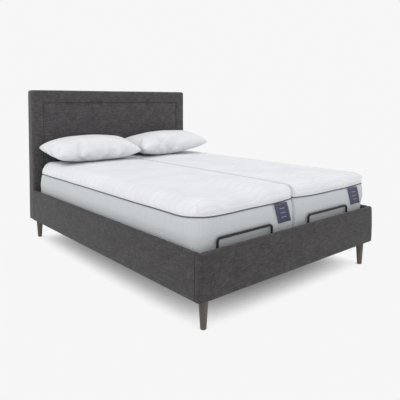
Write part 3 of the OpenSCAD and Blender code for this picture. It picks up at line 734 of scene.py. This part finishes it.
def sew_mattress(slab, side, lo, hi, unrolled):
    """Gives the plain mattress its belly, piping, quilting, spread and crown."""
    sign = SIDES[side]
    p, normals = slab.start, slab.normals
    top, piping_z = hi[2] - CROWN_ROOM, lo[2] + PIPING_UP
    split_wall = normals[:, 0] * sign < -0.5
    above = np.clip((p[:, 2] - piping_z - 0.010) / 0.03, 0, 1)
    # the border bellies out a little, except against the other mattress
    belly = 0.0055 * np.sin(math.pi * np.clip((p[:, 2] - lo[2]) / PIPING_UP, 0, 1))
    on_border = (p[:, 2] < piping_z) & (normals[:, 2] > -0.6) & ~split_wall
    shape = np.where(on_border, belly, 0)
    # seam drawn in at the piping, and the cord itself
    off = p[:, 2] - piping_z
    upright = np.abs(normals[:, 2]) < 0.75
    cord = np.sqrt(np.clip(PIPING_R ** 2 - off ** 2, 0, None)) * 1.15
    cord = cord * np.where(split_wall, 0.3, 1) - 0.005 * groove(off, 0.020)
    shape += np.where(upright, cord, 0)
    # wavy quilted channels across the top and down to the piping
    wave = unrolled[:, 1]
    for length, height in WAVES:
        wave = wave + height * np.sin(unrolled[:, 0] * TAU / length)
    channel = np.abs(np.sin(math.pi * wave / QUILT_PITCH))
    quilt = (channel ** 0.6 - 1) * 0.0036
    shape += np.where((normals[:, 2] > -0.5) & ~split_wall, quilt * above, 0)
    soft = 0.0016 * ripple(p, 0.5, 21 + sign) + 0.0005 * ripple(p, 0.12, 23)
    shape += np.where(split_wall, -0.001, soft - 0.0015) * above
    slab.push(shape)
    # above the rail the foam spreads outwards
    spread = np.clip((p[:, 2] - lo[2] - 0.065) / 0.06, 0, 1)
    outward = np.clip((p[:, 0] - (lo[0] + hi[0]) / 2) * sign / ((hi[0] - lo[0]) / 2), 0, 1)
    x_move = sign * OVERHANG[side] * smoothstep(spread) * outward ** 2
    # the top falls towards its free edges
    inset = p[:, 0] - lo[0] if sign < 0 else hi[0] - p[:, 0]
    inset = np.minimum(inset, np.minimum(p[:, 1] - lo[1], hi[1] - p[:, 1]))
    crown = -0.006 * (1 - np.clip(inset / 0.25, 0, 1)) ** 2
    # the piping climbs a little towards the corners of the foot face
    from_corner = np.minimum(p[:, 0] - lo[0], hi[0] - p[:, 0])
    foot = np.exp(-((p[:, 1] - lo[1]) / 0.10) ** 2)
    height = np.clip((p[:, 2] - lo[2]) / (top - lo[2]), 0, 1)
    climb = 0.010 * np.exp(-(from_corner / 0.12) ** 2) * foot * np.sin(math.pi * height)
    # and wavers along its length, as a sewn cord does
    waver = ripple(p * (1, 1, 0), 0.55, 41 + sign) + 0.4 * ripple(p * (1, 1, 0), 0.18, 43)
    waver = 0.0045 * waver * np.sin(math.pi * height) ** 2
    slab.points[:, 0] += x_move
    for z_move in (crown * above, climb, waver):
        slab.points[:, 2] += z_move
    slab.points[:, 2] = np.maximum(slab.points[:, 2], lo[2] + 0.0004)


def mattress(side):
    """One mattress with its border and piping, in three parts cut between its hinges."""
    lo, foot_hi = (np.array(c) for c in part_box(f"{side}_mattress_foot"))
    head_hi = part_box(f"{side}_mattress_head")[1]
    hi = np.array([foot_hi[0], head_hi[1], head_hi[2]])
    hip, thigh, knee = (JOINTS[f"{side}_{k}_hinge"]["pos_m"] for k in ("head", "thigh", "knee"))
    cut_seat = (hip[1] + thigh[1]) / 2
    cut_thigh = (thigh[1] + knee[1]) / 2
    slab = mattress_slab(side, lo, hi, (cut_seat, cut_thigh))
    # each point's place on the top if the edges were folded up level with it
    fallen = hi[2] - CROWN_ROOM - slab.points[:, 2]
    unrolled = slab.points[:, :2] + slab.normals[:, :2] * fallen[:, None]
    sew_mattress(slab, side, lo, hi, unrolled)
    points = slab.world()
    normals = point_normals(points, slab.faces)
    _, at_y, at_z = slab.start[slab.faces].mean(1).T
    row = at_z - (lo[2] + PIPING_UP)
    facing = slab.normals[slab.faces][:, :, 2].mean(1)
    materials = [QUILT, BORDER, PIPING]
    slot = np.where((row > 0) & (facing > -0.6), 0, 1)
    slot = np.where((np.abs(row) < PIPING_R * 0.98) & (np.abs(facing) < 0.75), 2, slot)
    parts = [
        ("foot", f"{side}_foot_section", f"{side}_thigh_section", knee, lo[1], cut_thigh,
         [f"{side}_mattress_foot"]),
        ("middle", f"{side}_thigh_section", "bedstead", thigh, cut_thigh, cut_seat,
         [f"{side}_mattress_thigh", f"{side}_thigh_gusset"]),
        ("head", "bedstead", f"{side}_head_section", hip, cut_seat, hi[1],
         [f"{side}_mattress_seat", f"{side}_hip_gusset", f"{side}_mattress_head"]),
    ]
    for part, before, after, pivot, start, end, nodes in parts:
        # the end parts also take the faces that stand upright on the mattress's own ends
        keep = (at_y > start - (start == lo[1])) & (at_y < end + (end == hi[1]))
        used, faces = np.unique(slab.faces[keep], return_inverse=True)
        obj = mesh_object(f"{side}_mattress_{part}_part", points[used], faces.reshape(-1, 4),
                          materials, slab.cloth[keep])
        quilted = np.pad(unrolled[used], ((0, 0), (0, 1))).astype(np.float32)
        stored = obj.data.attributes.new("quilt", "FLOAT_VECTOR", "POINT")
        stored.data.foreach_set("vector", quilted.ravel())
        obj.data.polygons.foreach_set("material_index", slot[keep].astype(np.int32))
        close_cuts(obj.data)
        obj.data.normals_split_custom_set_from_vertices(normals[used].tolist())
        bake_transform(obj)
        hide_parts(*nodes)


def label(side):
    """Dark cloth tab that hangs aslant from the piping near the right end of the foot face."""
    foot_lo, foot_hi = (np.array(c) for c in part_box(f"{side}_mattress_foot"))
    thick, slant, off_end = 0.0010, 0.040, 0.068
    left = foot_hi[0] - off_end - LABEL_W
    top = foot_lo[2] + PIPING_UP - 0.001
    columns, rows = 18, 16
    u, v = np.meshgrid(np.linspace(0, 1, columns), np.linspace(0, 1, rows), indexing="ij")
    u, v = u.ravel(), v.ravel()
    x = left + LABEL_W * u + slant * v
    z = top - (LABEL_H ** 2 - slant ** 2) ** 0.5 * v + 0.002 * np.sin(math.pi * u) * v
    out = 0.0085 + 0.0030 * np.sin(math.pi * v * 0.9) + 0.0014 * np.sin(TAU * u * 0.8 + 1) * v
    front = np.column_stack([x, foot_lo[1] - out, z])
    back = front + (0, thick, 0)
    count = columns * rows
    quads, rim = grid_faces(np.arange(count).reshape(columns, rows))
    quads = quads[:, [0, 3, 2, 1]]          # turned over, to face the foot of the bed
    edge = np.stack([rim, np.roll(rim, -1), np.roll(rim, -1) + count, rim + count], -1)
    faces = np.concatenate([quads, (quads + count)[:, ::-1], edge])
    place = np.tile(np.column_stack([u * LABEL_W, v * LABEL_H]), (2, 1))
    obj = mesh_object(f"{side}_label_tab", np.concatenate([front, back]), faces, [LABEL],
                      place[faces])
    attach(obj, f"{side}_foot_section")


# ---------------------------------------------------------------- pillows

PILLOW_GRID = (70, 44)                               # points across and along a panel
PILLOW_SEED = {"left": (31, 5), "right": (37, 8)}    # of its crumples and its dent
PILLOW_BOW = (0.03, 0.11)                            # how far its ends and sides bow, as shares
PILLOW_PRESSURE, PILLOW_FRAMES = 5.0, 24             # of the swelling
PILLOW_CALM = 5                                      # times that it is smoothed after it
PILLOW_FILL = 0.84                                   # power of its height: below 1 fills its ends
PILLOW_WIDTH = 0.978                                 # share of its box's width that it takes
PILLOW_DROP = {"left": 0.020, "right": 0.002}        # of its seam below the middle
PILLOW_ROLL = {"left": 0.000, "right": 0.014}        # rise of the seam towards the right end
PILLOW_PITCH = 0.0185                                # and towards the headboard


def cloth_swell(obj, pressure, frames):
    """Inflates a closed mesh with cloth and keeps the result in its vertices."""
    modifier = obj.modifiers.new("Cloth", "CLOTH")
    cloth = modifier.settings
    cloth.quality = 7
    cloth.mass = 0.25
    cloth.tension_stiffness = 22
    cloth.compression_stiffness = 22
    cloth.shear_stiffness = 6
    cloth.bending_stiffness = 0.35
    cloth.tension_damping = 12
    cloth.compression_damping = 12
    cloth.air_damping = 3
    cloth.use_pressure = True
    cloth.uniform_pressure_force = pressure
    cloth.effector_weights.gravity = 0
    modifier.point_cache.frame_start = 1
    modifier.point_cache.frame_end = frames
    scene = bpy.context.scene
    scene.frame_start, scene.frame_end = 1, frames
    for number in range(1, frames + 1):
        scene.frame_set(number)
    shown = obj.evaluated_get(bpy.context.evaluated_depsgraph_get())
    swollen = np.empty(len(obj.data.vertices) * 3, np.float32)
    shown.data.vertices.foreach_get("co", swollen)
    obj.modifiers.remove(modifier)
    obj.data.vertices.foreach_set("co", swollen)
    obj.data.update()
    scene.frame_set(1)
    return swollen.reshape(-1, 3).astype(float)


def relaxed(points, faces, times):
    """The points, each moved half way to the middle of its neighbours, a few times."""
    pairs = np.concatenate([faces[:, [k, (k + 1) % 4]] for k in range(4)])
    pairs = np.unique(np.sort(pairs, axis=1), axis=0)
    count = np.bincount(pairs.ravel(), minlength=len(points))[:, None]
    for _ in range(times):
        total = np.zeros_like(points)
        np.add.at(total, pairs[:, 0], points[pairs[:, 1]])
        np.add.at(total, pairs[:, 1], points[pairs[:, 0]])
        points = (points + total / count) / 2
    return points


def pillow_panels(size, thick, seed):
    """Points and faces of two panels joined at their rim, each thick metres high in its middle."""
    columns, rows = PILLOW_GRID
    count = columns * rows
    u, v = np.meshgrid(np.linspace(-1, 1, columns), np.linspace(-1, 1, rows), indexing="ij")
    u, v = u.ravel(), v.ravel()
    plump = ((1 - u ** 4) * (1 - v ** 4)) ** 0.5
    bow_x, bow_y = 1 + PILLOW_BOW[0] * (1 - v ** 2), 1 + PILLOW_BOW[1] * (1 - u ** 2)
    flat = np.column_stack([u * size[0] / 2 * bow_x, v * size[1] / 2 * bow_y, plump])
    quads, rim = grid_faces(np.arange(count).reshape(columns, rows))
    inner = np.ones(count, bool)
    inner[rim] = False
    lower = np.zeros(count, int)
    lower[rim] = rim
    lower[inner] = count + np.arange(inner.sum())
    points = np.concatenate([flat * (1, 1, thick), flat[inner] * (1, 1, -thick)])
    points[:, 2] += 0.003 * ripple(points, 0.16, seed)
    return points, np.concatenate([quads, lower[quads][:, ::-1]])


def pillow(side):
    """Plump cotton pillow: two sewn panels swollen by cloth, settled on the mattress."""
    lo, hi = (np.array(c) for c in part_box(f"{side}_pillow"))
    centre, size = (lo + hi) / 2, hi - lo
    crumple_seed, dent_seed = PILLOW_SEED[side]
    points, faces = pillow_panels(size, 0.035, crumple_seed)
    obj = mesh_object(f"{side}_soft_pillow", points, faces, [COTTON])
    swollen = cloth_swell(obj, PILLOW_PRESSURE, PILLOW_FRAMES)
    points = relaxed(swollen, faces, PILLOW_CALM)
    # to the pillow's real size, with its seam hanging lower and a little tilted
    low, high = points.min(0), points.max(0)
    points = (points - (low + high) / 2) / (high - low) * 2
    points[:, 2] = np.sign(points[:, 2]) * np.abs(points[:, 2]) ** PILLOW_FILL
    drop = PILLOW_DROP[side]
    seam = points[:, 1] * PILLOW_PITCH - drop + points[:, 0] * PILLOW_ROLL[side]
    points = points * size / 2 * (PILLOW_WIDTH, 1, 1)
    # the half above the seam is the fuller one, by as much as the seam has dropped
    points[:, 2] = points[:, 2] * (1.02 + np.sign(points[:, 2]) * drop * 8) + seam
    points += centre
    # settled flat on the mattress, with the hollow that a head has left
    bed = lo[2] - 0.001
    over = np.clip(bed - points[:, 2], 0, None)
    points[:, 2] = np.where(over > 0, bed + 0.002 * (1 - np.exp(-over / 0.01)), points[:, 2])
    dent = np.random.default_rng(dent_seed).uniform(-0.1, 0.1)
    reach = np.hypot((points[:, 0] - centre[0] - dent) / 0.26, (points[:, 1] - centre[1]) / 0.16)
    points[:, 2] -= 0.010 * np.exp(-reach ** 2) * (points[:, 2] > centre[2])
    obj.data.vertices.foreach_set("co", points.astype(np.float32).ravel())
    obj.data.attributes["rest"].data.foreach_set("vector", points.astype(np.float32).ravel())
    obj.data.update()
    smooth = obj.modifiers.new("Subdivision", "SUBSURF")
    smooth.levels = smooth.render_levels = 1
    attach(obj, f"{side}_head_section")
    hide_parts(f"{side}_pillow")


# ---------------------------------------------------------------- stage and light

FLOOR_REACH = 60
SKY = 0.925
SHADOW_REACH = 4.0        # metres over which the floor looks for what stands near it
# glow of the floor against its ambient occlusion: the low end is its painted shadow
FLOOR_GLOW = ((0.0, 0.03), (0.06, 0.15), (0.14, 0.37), (0.29, 0.73), (0.43, 0.92))


def stage():
    """Pale glowing floor that meets an equally pale sky, with a painted shadow close under things; the sky and one
    wide soft sun light the scene.
    """
    corners = np.array([(sx, sy, 0) for sx, sy in ((-1, -1), (1, -1), (1, 1), (-1, 1))], float)
    pale = Shader("studio_floor", (0.004, 0.004, 0.004), 1.0, Specular_IOR_Level=0.0)
    # glows like the sky, except close under things, where a painted shadow from the ambient occlusion there dims
    # its glow
    painted_shadow_ao = pale.node("ShaderNodeAmbientOcclusion", samples=32)
    pale.set(painted_shadow_ao, "Distance", SHADOW_REACH)
    pale.set(pale.surface, "Emission Color", pale.ramp(painted_shadow_ao.outputs["AO"], *FLOOR_GLOW))
    pale.set(pale.surface, "Emission Strength", 1.0)
    floor = mesh_object("studio_floor", corners * FLOOR_REACH, [(0, 1, 2, 3)], [pale.finish()],
                        smooth=False)
    world = bpy.data.worlds.new("studio")
    world.use_nodes = True
    background = world.node_tree.nodes["Background"]
    background.inputs["Color"].default_value = (SKY, SKY, SKY, 1)
    bpy.context.scene.world = world
    data = bpy.data.lights.new("soft_sun", "SUN")
    data.energy = 0.75
    data.angle = math.radians(50)
    sun = bpy.data.objects.new("soft_sun", data)
    bpy.context.scene.collection.objects.link(sun)
    sun.rotation_euler = (math.radians(32), 0, math.radians(-68))
    bpy.context.scene.view_settings.view_transform = "Standard"


# ---------------------------------------------------------------- build

dress_cad_nodes()
headboard()
rails()
for bed_side in SIDES:
    mattress(bed_side)
    label(bed_side)
    pillow(bed_side)
stage()
